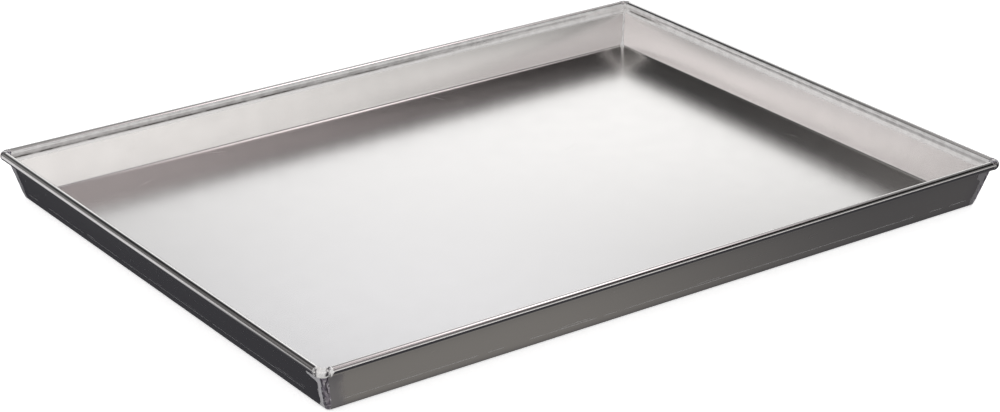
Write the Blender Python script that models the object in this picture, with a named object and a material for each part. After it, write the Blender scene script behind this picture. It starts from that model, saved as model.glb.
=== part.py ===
"""Rectangular baking tray, as its maker builds it.

One sheet blank is folded up into a floor and four flared walls, whose top edges are rolled outward round
four straight wires. The four wall corners and the four rim corners are then welded shut and ground.

Metres, +Z up. The origin lies on the table under the middle of the tray, X runs along the long sides and
the front faces -Y. In the sheet's section, outward is measured from the edge of the base, and up from the
table.
"""

import math

import bmesh
import bpy
from mathutils import Vector

# Driving dimensions
BASE_LENGTH = 0.400  # where the planes of the walls' outer faces meet the table
BASE_WIDTH = 0.300
HEIGHT = 0.026
FLARE = math.radians(15)  # of the walls, from upright
SHEET = 0.0008
FOLD_RADIUS = 0.0010  # inside the fold between floor and wall
WIRE_RADIUS = 0.0013
WIRE_CLEARANCE = 0.0003  # all round the wire, inside the rolled sheet
RIM_BULGE = 0.0007  # the rolled rim stands this proud of the wall's inner face
CREASE_RADIUS = 0.0030  # of the hollow inside the wall, under the rim
ROLL_CLEARANCE = 0.00035  # between the sheet's rolled edge and the wall
CORNER_WELD_RADIUS = 0.0015  # of the welded wall corner, at the middle of the sheet
WELD_CLEARANCE = 0.0003
RIPPLE_PITCH = 0.0016
RIPPLE_HEIGHT = 0.00012
RIM_WELD_INNER_RADIUS = 0.0008
RIM_WELD_PINCH = 0.0010  # ground off the corner's width at its middle
RIM_WELD_GROOVE = 0.0004  # the dip along the joint of the two rims
GROOVE_SHARPNESS = 6  # the power that narrows the dip

# Smoothness
SMOOTH_ANGLE = math.radians(35)  # edges sharper than this stay sharp
FOLD_STEPS = 5
CREASE_STEPS = 4
ROLL_STEPS = 24
ROWS_PER_RIPPLE = 3
CORNER_STEPS = 6
RIM_WELD_STEPS = 12
RIM_SIDES = 24
WIRE_SIDES = 16

# Worked out from the driving dimensions
ROLL_MIDDLE_RADIUS = WIRE_RADIUS + WIRE_CLEARANCE + SHEET / 2
RIM_RADIUS = ROLL_MIDDLE_RADIUS + SHEET / 2
RIM_AXIS_FROM_WALL = ROLL_MIDDLE_RADIUS - RIM_BULGE  # square to the wall, from the middle of its sheet
RIM_AXIS_HEIGHT = HEIGHT - RIM_RADIUS
RIM_AXIS_OUT = RIM_AXIS_HEIGHT * math.tan(FLARE) + (RIM_AXIS_FROM_WALL - SHEET / 2) / math.cos(FLARE)
RIM_REACH = RIM_AXIS_OUT + RIM_RADIUS
RIM_WELD_CENTRE = RIM_REACH - 2 * RIM_RADIUS - RIM_WELD_INNER_RADIUS
ROLL_END = RIM_WELD_CENTRE - WELD_CLEARANCE
SEAM_CUT = CORNER_WELD_RADIUS + WELD_CLEARANCE * math.sqrt(2)

# Each side's outward direction
SIDES = {"front": Vector((0, -1)), "right": Vector((1, 0)), "back": Vector((0, 1)), "left": Vector((-1, 0))}
CORNERS = {
    "front_left": Vector((-1, -1)),
    "front_right": Vector((1, -1)),
    "back_right": Vector((1, 1)),
    "back_left": Vector((-1, 1)),
}

SHEET_LOOK = {"color": (0.60, 0.59, 0.58), "roughness": 0.32}
WIRE_LOOK = {"color": (0.45, 0.44, 0.43), "roughness": 0.40}
CORNER_WELD_LOOK = {"color": (0.42, 0.42, 0.44), "roughness": 0.38}
RIM_WELD_LOOK = {"color": (0.66, 0.66, 0.66), "roughness": 0.28}


def arc(centre, radius, start, end, steps):
    """Points on an arc of the section, without its first."""
    angles = [start + (end - start) * step / steps for step in range(1, steps + 1)]
    return [centre + radius * Vector((math.cos(angle), math.sin(angle))) for angle in angles]


def wall_stations():
    """The middle of the sheet from the edge of the floor, round the fold, to the hollow under the rim."""
    fold_outside = FOLD_RADIUS + SHEET
    fold_start = -fold_outside * math.tan(math.pi / 4 - FLARE / 2)
    fold_centre = Vector((fold_start, fold_outside))
    fold_middle_radius = FOLD_RADIUS + SHEET / 2
    fold = arc(fold_centre, fold_middle_radius, -math.pi / 2, -FLARE, FOLD_STEPS)
    up_the_wall = Vector((math.sin(FLARE), math.cos(FLARE)))
    rim_axis = Vector((RIM_AXIS_OUT, RIM_AXIS_HEIGHT))
    crease_below_axis = (CREASE_RADIUS + SHEET / 2 + ROLL_MIDDLE_RADIUS) * math.sin(crease_angle())
    rise = (rim_axis - fold[-1]).dot(up_the_wall) - crease_below_axis
    return [Vector((fold_start, SHEET / 2)), *fold, fold[-1] + rise * up_the_wall]


def crease_angle():
    """How far the sheet turns inward at the hollow, so that it runs smoothly on to the rolled rim."""
    radii = CREASE_RADIUS + SHEET / 2 + ROLL_MIDDLE_RADIUS
    return math.acos(1 - RIM_BULGE / radii)


def rim_stations(wall_top):
    """The middle of the sheet from the top of the wall, through the hollow and round the wire."""
    crease_middle_radius = CREASE_RADIUS + SHEET / 2
    out_of_the_wall = Vector((math.cos(FLARE), -math.sin(FLARE)))
    crease_centre = wall_top - crease_middle_radius * out_of_the_wall
    crease_end = crease_angle() - FLARE
    crease = arc(crease_centre, crease_middle_radius, -FLARE, crease_end, CREASE_STEPS)
    rim_axis = Vector((RIM_AXIS_OUT, RIM_AXIS_HEIGHT))
    edge_from_wall = ROLL_CLEARANCE + SHEET / 2 - RIM_AXIS_FROM_WALL
    roll_end = -math.acos(edge_from_wall / RIM_RADIUS) - FLARE
    return crease + arc(rim_axis, ROLL_MIDDLE_RADIUS, crease_end + math.pi, roll_end, ROLL_STEPS)


def half_sizes(outward):
    """Half the base's size across a side, from its own outer edge, and half its size along that side."""
    if outward.x:
        return BASE_LENGTH / 2, BASE_WIDTH / 2
    return BASE_WIDTH / 2, BASE_LENGTH / 2


def side_point(outward, along, station):
    """A point of a side's section, placed so far along the side from its middle."""
    across = half_sizes(outward)[0] + station.x
    sideways = Vector((-outward.y, outward.x))
    return Vector((*(outward * across + sideways * along), station.y))


def join_rows(bm, rows, closed=False):
    """Faces between each row of vertices and the next, with the rows joined end to end if closed."""
    for lower, upper in zip(rows, rows[1:]):
        pairs = list(zip(lower, upper))
        following = pairs[1:] + pairs[:1] if closed else pairs[1:]
        for (a, b), (c, d) in zip(pairs, following):
            bm.faces.new((a, c, d, b))


def add_row(bm, points):
    return [bm.verts.new(point) for point in points]


def make_object(name, bm, look):
    """An object of the mesh, shaded smooth between its sharp edges, with a metal of its own."""
    bmesh.ops.recalc_face_normals(bm, faces=bm.faces)
    mesh = bpy.data.meshes.new(name)
    bm.to_mesh(mesh)
    bm.free()
    mesh.shade_smooth()
    mesh.set_sharp_from_angle(angle=SMOOTH_ANGLE)
    material = bpy.data.materials.new(name)
    material.use_nodes = True
    shader = material.node_tree.nodes["Principled BSDF"]
    shader.inputs["Base Color"].default_value = (*look["color"], 1)
    shader.inputs["Roughness"].default_value = look["roughness"]
    shader.inputs["Metallic"].default_value = 1
    mesh.materials.append(material)
    made = bpy.data.objects.new(name, mesh)
    bpy.context.scene.collection.objects.link(made)
    return made


def give_thickness(surface):
    """Turns the middle surface into sheet metal of the right thickness, cut square at its edges."""
    solidify = surface.modifiers.new("sheet", "SOLIDIFY")
    solidify.thickness = SHEET
    solidify.offset = 0
    solidify.use_even_offset = True


def make_pan_sheet():
    """The folded blank: the floor, and on each side the wall and rim, ending short of the corner seams."""
    bm = bmesh.new()
    wall = wall_stations()
    stations = wall + rim_stations(wall[-1])
    floor_outline = []
    for outward in SIDES.values():
        rows = []
        for station in stations:
            half_along = half_sizes(outward)[1]
            end = half_along + min(station.x - SEAM_CUT, ROLL_END)
            rows.append(add_row(bm, [side_point(outward, along, station) for along in (-end, end)]))
        join_rows(bm, rows)
        floor_outline += rows[0]
    bm.faces.new(floor_outline)
    give_thickness(make_object("pan_sheet", bm, SHEET_LOOK))


def make_rim_wire(name, outward):
    """The straight wire that stiffens one rolled rim."""
    bm = bmesh.new()
    half_length = half_sizes(outward)[1] + ROLL_END
    bmesh.ops.create_cone(
        bm,
        cap_ends=True,
        segments=WIRE_SIDES,
        radius1=WIRE_RADIUS,
        radius2=WIRE_RADIUS,
        depth=2 * half_length,
    )
    wire = make_object(f"rim_wire_{name}", bm, WIRE_LOOK)
    wire.location = side_point(outward, 0, Vector((RIM_AXIS_OUT, RIM_AXIS_HEIGHT)))
    wire.rotation_euler = Vector((-outward.y, outward.x, 0)).to_track_quat("Z", "Y").to_euler()


def corner_row(corner, station, bulge, roundness):
    """Points round a wall corner at one station of the section, from one wall to the other.

    The row is a quarter circle that runs smoothly into both walls, or the straight line between its ends
    where roundness is 0.
    """
    centre = station.x - CORNER_WELD_RADIUS
    points = []
    for step in range(CORNER_STEPS + 1):
        share = step / CORNER_STEPS
        angle = share * math.pi / 2
        radius = CORNER_WELD_RADIUS + bulge * math.sin(2 * angle)
        round_point = Vector((math.sin(angle), math.cos(angle))) * radius
        straight_point = Vector((share, 1 - share)) * CORNER_WELD_RADIUS
        out = straight_point.lerp(round_point, roundness)
        x = corner.x * (BASE_LENGTH / 2 + centre + out.x)
        y = corner.y * (BASE_WIDTH / 2 + centre + out.y)
        points.append(Vector((x, y, station.y)))
    return points


def make_corner_weld(name, corner):
    """The weld that closes one wall corner, from the floor to just under the rim, with its ripples."""
    *fold, top = wall_stations()
    ripples = round((top - fold[-1]).length / RIPPLE_PITCH)
    rows_up = ripples * ROWS_PER_RIPPLE
    bm = bmesh.new()
    rows = [add_row(bm, corner_row(corner, fold[0], bulge=0, roundness=0))]
    rows += [add_row(bm, corner_row(corner, station, bulge=0, roundness=1)) for station in fold[1:]]
    for row in range(1, rows_up + 1):
        bulge = RIPPLE_HEIGHT * abs(math.sin(math.pi * row / ROWS_PER_RIPPLE))
        station = fold[-1].lerp(top, row / rows_up)
        rows.append(add_row(bm, corner_row(corner, station, bulge, roundness=1)))
    join_rows(bm, rows)
    give_thickness(make_object(f"corner_weld_{name}", bm, CORNER_WELD_LOOK))


def rim_weld_ring(corner, turn):
    """The section of a rim corner after so much of its quarter turn, from the one rim to the other."""
    towards_middle = math.sin(2 * turn)
    half_width = RIM_RADIUS - RIM_WELD_PINCH / 2 * towards_middle
    half_height = RIM_RADIUS - RIM_WELD_GROOVE / 2 * towards_middle**GROOVE_SHARPNESS
    points = []
    for side in range(RIM_SIDES):
        angle = 2 * math.pi * side / RIM_SIDES
        out = RIM_WELD_INNER_RADIUS + half_width * (1 + math.cos(angle))
        x = corner.x * (BASE_LENGTH / 2 + RIM_WELD_CENTRE + out * math.sin(turn))
        y = corner.y * (BASE_WIDTH / 2 + RIM_WELD_CENTRE + out * math.cos(turn))
        points.append(Vector((x, y, RIM_AXIS_HEIGHT + half_height * math.sin(angle))))
    return points


def make_rim_weld(name, corner):
    """The weld metal that joins two rolled rims round their corner, ground off on the outside."""
    bm = bmesh.new()
    turns = [math.pi / 2 * step / RIM_WELD_STEPS for step in range(RIM_WELD_STEPS + 1)]
    rings = [add_row(bm, rim_weld_ring(corner, turn)) for turn in turns]
    join_rows(bm, rings, closed=True)
    bm.faces.new(rings[0])
    bm.faces.new(rings[-1])
    make_object(f"rim_weld_{name}", bm, RIM_WELD_LOOK)


def main():
    for left_over in list(bpy.data.objects):
        bpy.data.objects.remove(left_over, do_unlink=True)
    make_pan_sheet()
    for name, outward in SIDES.items():
        make_rim_wire(name, outward)
    for name, corner in CORNERS.items():
        make_corner_weld(name, corner)
        make_rim_weld(name, corner)


main()
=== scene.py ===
"""Looks of the rectangular baking tray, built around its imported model.

Metres, +Z up, in the model's own frame: the origin lies on the table under the middle of the tray, X runs
along the long sides and the front faces -Y. In a side's section, out is measured from the edge of the base
and up from the table. The sheet's section repeats the sizes of the model. Finer pieces of the same shape
stand for its sheet and welds, and its wires are shown as they are.
"""

import math

import bmesh
import bpy
from mathutils import Matrix, Vector, noise


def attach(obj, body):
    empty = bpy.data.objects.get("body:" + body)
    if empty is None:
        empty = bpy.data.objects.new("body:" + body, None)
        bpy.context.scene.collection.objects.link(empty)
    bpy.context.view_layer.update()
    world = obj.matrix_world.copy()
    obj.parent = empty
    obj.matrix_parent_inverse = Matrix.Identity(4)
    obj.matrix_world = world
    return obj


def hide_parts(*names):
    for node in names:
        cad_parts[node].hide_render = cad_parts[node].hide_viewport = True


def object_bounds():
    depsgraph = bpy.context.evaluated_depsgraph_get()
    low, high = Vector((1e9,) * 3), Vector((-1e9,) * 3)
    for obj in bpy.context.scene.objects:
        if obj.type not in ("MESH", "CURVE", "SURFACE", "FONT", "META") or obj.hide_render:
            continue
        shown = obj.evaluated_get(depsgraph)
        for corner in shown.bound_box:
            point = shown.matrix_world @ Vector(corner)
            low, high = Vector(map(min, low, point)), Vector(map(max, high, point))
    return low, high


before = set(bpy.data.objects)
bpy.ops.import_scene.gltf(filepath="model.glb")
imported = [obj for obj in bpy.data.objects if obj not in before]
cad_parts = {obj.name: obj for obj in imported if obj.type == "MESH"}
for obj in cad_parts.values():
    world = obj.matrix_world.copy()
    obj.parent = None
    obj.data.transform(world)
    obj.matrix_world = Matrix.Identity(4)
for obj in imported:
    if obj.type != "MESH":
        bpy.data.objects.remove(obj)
cad_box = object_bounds()

# Section of the sheet, as in the model
SHEET = 0.0008
FLARE = math.radians(15)
FOLD_RADIUS = 0.0010
CREASE_RADIUS = 0.0030
ROLL_RADIUS = 0.0020  # of the rolled rim, at the middle of the sheet
RIM_BULGE = 0.0007
ROLL_CLEARANCE = 0.00035
CORNER_RADIUS = 0.0015  # of a wall corner, at the middle of the sheet
ELBOW_INNER_RADIUS = 0.0008

# Worked out from the section and the frame
HEIGHT = cad_box[1].z
RIM_RADIUS = ROLL_RADIUS + SHEET / 2
RIM_AXIS_FROM_WALL = ROLL_RADIUS - RIM_BULGE
RIM_AXIS_HEIGHT = HEIGHT - RIM_RADIUS
RIM_AXIS_OUT = RIM_AXIS_HEIGHT * math.tan(FLARE) + (RIM_AXIS_FROM_WALL - SHEET / 2) / math.cos(FLARE)
RIM_REACH = RIM_AXIS_OUT + RIM_RADIUS
ELBOW_AXIS_RADIUS = ELBOW_INNER_RADIUS + RIM_RADIUS
ELBOW_CENTRE = RIM_AXIS_OUT - ELBOW_AXIS_RADIUS
BASE_LENGTH = 2 * (cad_box[1].x - RIM_REACH)
BASE_WIDTH = 2 * (cad_box[1].y - RIM_REACH)

# Fineness of the mesh
FOLD_STEPS = 10
WALL_STEPS = 14
CREASE_STEPS = 10
ROLL_STEPS = 44
RING_SPACING = 0.004
WALL_TOP = FOLD_STEPS + WALL_STEPS
ROLL_START = WALL_TOP + CREASE_STEPS

# Hand-made unevenness
FLOOR_WAVE = 0.00002
FLOOR_WAVE_LENGTH = 0.07
FLOOR_WAVE_MARGIN = 0.03  # from the folds, over which the floor becomes level
WALL_WAVE = 0.00006
WALL_WAVE_LENGTH = 0.04
WALL_BOW = 0.0003  # of the back and right walls, near their shared corner
CREASE_WAVE = 0.00006
CREASE_WAVE_LENGTH = 0.014
CREASE_WAVE_STEPS = 8  # of the rolled rim, over which the crease's unevenness ends
RIM_WAVE = 0.00003
RIM_WAVE_LENGTH = 0.05
RIM_SLACK = 0.0001  # how far the rolled rim keeps inside its welded corners

# Weld down a wall corner
BEAD_HALF_WIDTH = 0.0022
BEAD_WIDTH_CHANGE = 0.2
BEAD_WIDTH_WAVE_LENGTH = 0.003
BEAD_CROWN_OUTSIDE = 0.00020
BEAD_CROWN_INSIDE = 0.00009
BEAD_SINK = 0.00005
BEAD_RIPPLE = 0.00003
BEAD_PITCH = 0.0013
BEAD_CHEVRON = 0.6
BEAD_LUMP = 0.00012
BEAD_LUMP_SIZE = 0.0012
BEAD_ON_FLOOR = 0.0010
BEAD_FOOT_HEIGHT = 0.004  # below which the outside fades away, so that the tray stands level
BEAD_UNDER_RIM = 0.0025
BEAD_LEAST_RADIUS = 0.0003
BEAD_ROLL_STEPS = 6
BEAD_SPACING = 0.00025
BEAD_COLUMNS = 24

# Weld round a rim corner
ELBOW_RINGS = 64
ELBOW_SIDES = 64
ELBOW_LUMP_SIZE = 0.0016
ELBOW_GROOVE_WIDTH = 0.00028
ELBOW_GROOVE_SLANT = 0.0004
ELBOW_NOTCH_WIDTH = 0.00050
ELBOW_NOTCH_ANGLE = math.radians(125)  # round the rim, from its outermost line over the top
SLEEVE_CHANGE = 0.4  # share by which the edge of a sleeve wanders, and how quickly it does
SLEEVE_WAVE = 0.5
ELBOW_END_SINK = 0.00008
ELBOW_CORE_RADIUS = RIM_RADIUS - SHEET * 0.6

# Camera, as measured on the photograph
CAMERA_AZIMUTH = math.radians(-35.486)
CAMERA_ELEVATION = math.radians(23.301)
CAMERA_ROLL = math.radians(-0.095)
CAMERA_DISTANCE = 1.4331
CAMERA_TARGET = Vector((-0.00277, -0.00615, 0))
CAMERA_LENS_MM = 98.4
CAMERA_SENSOR_MM = 36

SIDES = {"front": Vector((0, -1)), "right": Vector((1, 0)), "back": Vector((0, 1)), "left": Vector((-1, 0))}
CORNERS = {
    "front_left": Vector((-1, -1)),
    "front_right": Vector((1, -1)),
    "back_right": Vector((1, 1)),
    "back_left": Vector((-1, 1)),
}

# How rough each corner's weld is: lumps, joint grooves, notch on the diagonal, and sleeve lengths on the
# rims of the left or right side and of the front or back side
CORNER_WELDS = {
    "front_left": {
        "seed": 11, "lump": 0.00016, "groove": 0.00022, "notch": 0.00055, "sleeves": (0.0014, 0.0034),
    },
    "front_right": {
        "seed": 23, "lump": 0.00010, "groove": 0.00024, "notch": 0.00025, "sleeves": (0.0016, 0.0022),
    },
    "back_right": {
        "seed": 37, "lump": 0.00009, "groove": 0.00016, "notch": 0.00030, "sleeves": (0.0018, 0.0015),
    },
    "back_left": {
        "seed": 41, "lump": 0.00007, "groove": 0.00012, "notch": 0.00018, "sleeves": (0.0012, 0.0016),
    },
}


# Section

def arc(centre, radius, start, end, steps):
    """Stations on an arc, without its first: each is a point and the direction in which the sheet runs."""
    quarter = math.copysign(math.pi / 2, end - start)
    stations = []
    for step in range(1, steps + 1):
        angle = start + (end - start) * step / steps
        point = centre + radius * Vector((math.cos(angle), math.sin(angle)))
        stations.append((point, angle + quarter))
    return stations


def fold_and_wall():
    """Stations of the sheet's middle from the edge of the floor to the hollow under the rim."""
    fold_outside = FOLD_RADIUS + SHEET
    fold_start = -fold_outside * math.tan(math.pi / 4 - FLARE / 2)
    fold_centre = Vector((fold_start, fold_outside))
    fold = arc(fold_centre, FOLD_RADIUS + SHEET / 2, -math.pi / 2, -FLARE, FOLD_STEPS)
    up_the_wall = Vector((math.sin(FLARE), math.cos(FLARE)))
    foot = fold[-1][0]
    crease_below_axis = (CREASE_RADIUS + SHEET / 2 + ROLL_RADIUS) * math.sin(crease_angle())
    rim_axis = Vector((RIM_AXIS_OUT, RIM_AXIS_HEIGHT))
    rise = (rim_axis - foot).dot(up_the_wall) - crease_below_axis
    direction = math.pi / 2 - FLARE
    wall = [(foot + up_the_wall * rise * step / WALL_STEPS, direction) for step in range(1, WALL_STEPS + 1)]
    return [(Vector((fold_start, SHEET / 2)), 0.0), *fold, *wall]


def crease_angle():
    """How far the sheet turns inward at the hollow under the rim."""
    return math.acos(1 - RIM_BULGE / (CREASE_RADIUS + SHEET / 2 + ROLL_RADIUS))


def crease(wall_top):
    middle_radius = CREASE_RADIUS + SHEET / 2
    centre = wall_top - middle_radius * Vector((math.cos(FLARE), -math.sin(FLARE)))
    return arc(centre, middle_radius, -FLARE, crease_angle() - FLARE, CREASE_STEPS)


def roll():
    """Stations of the rolled rim, which draws in a little from the model's where it leaves the crease."""
    edge_from_wall = ROLL_CLEARANCE + SHEET / 2 - RIM_AXIS_FROM_WALL
    end = -math.acos(edge_from_wall / RIM_RADIUS) - FLARE
    start = crease_angle() - FLARE + math.pi
    centre = Vector((RIM_AXIS_OUT, RIM_AXIS_HEIGHT))
    drawn = []
    for index, (point, direction) in enumerate(arc(centre, ROLL_RADIUS, start, end, ROLL_STEPS)):
        slack = RIM_SLACK * smooth_share(index, 0, BEAD_ROLL_STEPS)
        drawn.append((point + (centre - point).normalized() * slack, direction))
    return drawn


def whole_section():
    lower = fold_and_wall()
    return lower + crease(lower[-1][0]) + roll()


def skin_point(station, height):
    """The point that lies so far from the sheet's middle, towards the inside of the tray."""
    point, direction = station
    return point + height * Vector((-math.sin(direction), math.cos(direction)))


def smooth_share(value, start, end):
    """0 before the start and 1 after the end, with a smooth rise between them."""
    share = min(1, max(0, (value - start) / (end - start)))
    return share * share * (3 - 2 * share)


# Mesh building

def side_point(outward, along, point):
    """A point of a side's section, placed so far along the side from its middle."""
    half_across = (BASE_LENGTH if outward.x else BASE_WIDTH) / 2
    flat = outward * (half_across + point.x) + Vector((-outward.y, outward.x)) * along
    return Vector((flat.x, flat.y, point.y))


def join_rows(bm, rows, closed=False):
    """Faces between each row of vertices and the next, with each row's ends joined if closed."""
    faces = []
    for lower, upper in zip(rows, rows[1:]):
        pairs = list(zip(lower, upper))
        following = pairs[1:] + pairs[:1] if closed else pairs[1:]
        for (a, b), (c, d) in zip(pairs, following):
            faces.append(bm.faces.new((a, c, d, b)))
    return faces


def make_piece(name, bm, materials, replaced, smooth_angle=math.radians(50)):
    """An object of the mesh, shaded smooth, that rides on the tray and stands for some model nodes."""
    bmesh.ops.remove_doubles(bm, verts=bm.verts, dist=1e-6)
    bmesh.ops.recalc_face_normals(bm, faces=bm.faces)
    mesh = bpy.data.meshes.new(name)
    bm.to_mesh(mesh)
    bm.free()
    mesh.shade_smooth()
    mesh.set_sharp_from_angle(angle=smooth_angle)
    for material in materials:
        mesh.materials.append(material)
    piece = bpy.data.objects.new(name, mesh)
    bpy.context.scene.collection.objects.link(piece)
    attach(piece, "root")
    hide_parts(*replaced)
    return piece


def wave(point, size, seed):
    """Smooth unevenness between -1 and 1."""
    return noise.noise(point / size + Vector((seed, 0, 0)))


def half_along(outward):
    return (BASE_WIDTH if outward.x else BASE_LENGTH) / 2


def ring_shares(length):
    """Places of the section's rings along a side, from -1 to 1."""
    count = round(length / RING_SPACING)
    return [2 * step / count - 1 for step in range(count + 1)]


def uneven_point(outward, along, stations, index, height):
    """A point of the sheet's skin with its hand-made unevenness."""
    point = side_point(outward, along, skin_point(stations[index], height))
    direction = stations[index][1]
    if index <= WALL_TOP:
        push = WALL_WAVE * wave(point, WALL_WAVE_LENGTH, seed=3) * math.sin(math.pi * index / WALL_TOP)
        push += wall_bow(point) * math.sin(math.pi * max(0, index - FOLD_STEPS) / WALL_STEPS)
    else:
        turned = smooth_share(index, WALL_TOP, ROLL_START) - smooth_share(
            index, ROLL_START, ROLL_START + CREASE_WAVE_STEPS
        )
        push = CREASE_WAVE * wave(point, CREASE_WAVE_LENGTH, seed=5) * turned
    rim_share = smooth_share(index, WALL_TOP, ROLL_START)
    at_middle = side_point(outward, along, Vector((0, 0)))
    sideways = RIM_WAVE * wave(at_middle, RIM_WAVE_LENGTH, seed=17) * rim_share
    upward = RIM_WAVE * wave(at_middle, RIM_WAVE_LENGTH, seed=29) * rim_share
    flat = outward * (sideways - math.sin(direction) * push)
    return point + Vector((flat.x, flat.y, upward + math.cos(direction) * push))


def wall_bow(point):
    """How far a wall bows inward here: only the back and right walls do, towards the corner between them."""
    to_the_right = smooth_share(point.x, -BASE_LENGTH / 8, BASE_LENGTH / 2)
    return WALL_BOW * to_the_right * smooth_share(point.y, -BASE_WIDTH / 3, BASE_WIDTH / 2)


def skin_rows(bm, outward, shares, stations, height):
    """The vertices of one side's skin, so far from the sheet's middle, with a row for each station."""
    rows = []
    for index, station in enumerate(stations):
        end = half_along(outward) + min(station[0].x - CORNER_RADIUS, ELBOW_CENTRE)
        row = [uneven_point(outward, share * end, stations, index, height) for share in shares]
        rows.append([bm.verts.new(point) for point in row])
    return rows


def join_skins(bm, inner, outer, at):
    """The edge between two skins at one end of their rows."""
    join_rows(bm, [[row[at] for row in inner], [row[at] for row in outer]])


def make_sheet(inside, outside):
    """The folded blank with its thickness: the floor, the four walls and the four rolled rims."""
    bm = bmesh.new()
    stations = whole_section()
    shares = {name: ring_shares(2 * half_along(outward)) for name, outward in SIDES.items()}
    outside_faces = []
    for name, outward in SIDES.items():
        inner = skin_rows(bm, outward, shares[name], stations, SHEET / 2)
        join_rows(bm, inner)
        outer = skin_rows(bm, outward, shares[name], stations, -SHEET / 2)
        outside_faces += join_rows(bm, outer)
        join_rows(bm, [inner[-1], outer[-1]])
        for at in (0, -1):
            join_skins(bm, inner, outer, at)
    outside_faces += make_floor(bm, stations[0], shares)
    for face in outside_faces:
        face.material_index = 1
    return make_piece("folded_sheet", bm, [inside, outside], ["pan_sheet"])


def make_floor(bm, station, shares):
    """The two skins of the floor between the folds. Returns the faces of the lower one."""
    reach_x = BASE_LENGTH / 2 + station[0].x
    reach_y = BASE_WIDTH / 2 + station[0].x
    columns = [-reach_x, *[share * (reach_x - CORNER_RADIUS) for share in shares["front"]], reach_x]
    lines = [-reach_y, *[share * (reach_y - CORNER_RADIUS) for share in shares["right"]], reach_y]
    floor_skin(bm, columns, lines, SHEET)
    return floor_skin(bm, columns, lines, 0)


def floor_skin(bm, columns, lines, height):
    """One skin of the floor, slightly wavy, with its corners cut off where the welds lie."""
    grid = {}
    for i, x in enumerate(columns):
        for j, y in enumerate(lines):
            edge = min(columns[-1] - abs(x), lines[-1] - abs(y))
            rise = FLOOR_WAVE * (1 + wave(Vector((x, y, 0)), FLOOR_WAVE_LENGTH, seed=7)) / 2
            grid[i, j] = bm.verts.new((x, y, height + rise * min(1, edge / FLOOR_WAVE_MARGIN)))
    last = (len(columns) - 1, len(lines) - 1)
    faces = []
    for i in range(last[0]):
        for j in range(last[1]):
            square = [(i, j), (i + 1, j), (i + 1, j + 1), (i, j + 1)]
            kept = [at for at in square if at[0] not in (0, last[0]) or at[1] not in (0, last[1])]
            faces.append(bm.faces.new([grid[at] for at in kept]))
    return faces


def corner_point(corner, out, height):
    """A point near a corner: out along both walls' outward directions from the base's corner."""
    return Vector((corner.x * (BASE_LENGTH / 2 + out.x), corner.y * (BASE_WIDTH / 2 + out.y), height))


# Weld down a wall corner

def evenly(stations, spacing):
    """The same path with a station every so far."""
    dense = []
    for (start, start_turn), (end, end_turn) in zip(stations, stations[1:]):
        parts = max(1, round((end - start).length / spacing))
        for part in range(parts):
            share = part / parts
            dense.append((start.lerp(end, share), start_turn + (end_turn - start_turn) * share))
    return [*dense, stations[-1]]


def round_the_corner(lateral, centre, radius):
    """The plan point so far to one side of a wall corner's diagonal, on the corner's round or past it."""
    half_arc = CORNER_RADIUS * math.pi / 4
    on_round = min(half_arc, max(-half_arc, lateral))
    turn = math.pi / 4 * (1 + on_round / half_arc)
    past = lateral - on_round
    shift = Vector((0, -past)) if past > 0 else Vector((past, 0))
    return Vector((centre, centre)) + radius * Vector((math.sin(turn), math.cos(turn))) + shift


def bead_height(lateral, up, crown, weld):
    """How far the weld stands above the sheet's skin."""
    place = Vector((lateral, up, weld["seed"]))
    width_change = BEAD_WIDTH_CHANGE * wave(place, BEAD_WIDTH_WAVE_LENGTH, seed=2)
    share = lateral / (BEAD_HALF_WIDTH * (1 + width_change))
    ripple = BEAD_RIPPLE * math.sin(2 * math.pi * (up + BEAD_CHEVRON * abs(lateral)) / BEAD_PITCH)
    lump = BEAD_LUMP * wave(place, BEAD_LUMP_SIZE, seed=4)
    lump += weld["lump"] * wave(place, BEAD_LUMP_SIZE / 2, seed=6)
    return (crown + ripple + lump) * max(0, 1 - share * share) - BEAD_SINK


def bead_row(bm, corner, station, side, weld):
    """The vertices across the weld at one station, on the tray's inside (side 1) or outside (side -1)."""
    point, direction = station
    crown = BEAD_CROWN_INSIDE
    relief = 1
    if side < 0:
        relief = smooth_share(point.y, SHEET, BEAD_FOOT_HEIGHT)
        under_the_rim = smooth_share(point.y, RIM_AXIS_HEIGHT - BEAD_UNDER_RIM, RIM_AXIS_HEIGHT)
        crown = BEAD_CROWN_OUTSIDE * (relief * (1 - under_the_rim))
    centre = min(point.x - CORNER_RADIUS, ELBOW_CENTRE)
    row = []
    for step in range(BEAD_COLUMNS + 1):
        lateral = 2 * BEAD_HALF_WIDTH * (step / BEAD_COLUMNS - 0.5)
        proud = bead_height(lateral, point.y, crown, weld) * relief - BEAD_SINK / 2 * (1 - relief)
        height = side * (SHEET / 2 + proud)
        radius = max(BEAD_LEAST_RADIUS, point.x - centre - height * math.sin(direction))
        flat = round_the_corner(lateral, centre, radius)
        row.append(bm.verts.new(corner_point(corner, flat, point.y + height * math.cos(direction))))
    return row


def make_corner_weld(name, corner, inside, outside):
    """The weld down one wall corner, with its ripples, from the floor to the rim."""
    section = whole_section()[:ROLL_START + BEAD_ROLL_STEPS + 1]
    on_floor = (section[0][0] - Vector((BEAD_ON_FLOOR, 0)), 0.0)
    stations = evenly([on_floor, *section], BEAD_SPACING)
    bm = bmesh.new()
    inner = [bead_row(bm, corner, station, 1, CORNER_WELDS[name]) for station in stations]
    join_rows(bm, inner)
    outer = [bead_row(bm, corner, station, -1, CORNER_WELDS[name]) for station in stations]
    outer_faces = join_rows(bm, outer)
    for at in (0, -1):
        join_rows(bm, [inner[at], outer[at]])
        join_skins(bm, inner, outer, at)
    for face in outer_faces:
        face.material_index = 1
    replaced = [f"corner_weld_{name}"]
    return make_piece(f"corner_bead_{name}", bm, [inside, outside], replaced, math.radians(80))


# Weld round a rim corner

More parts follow.
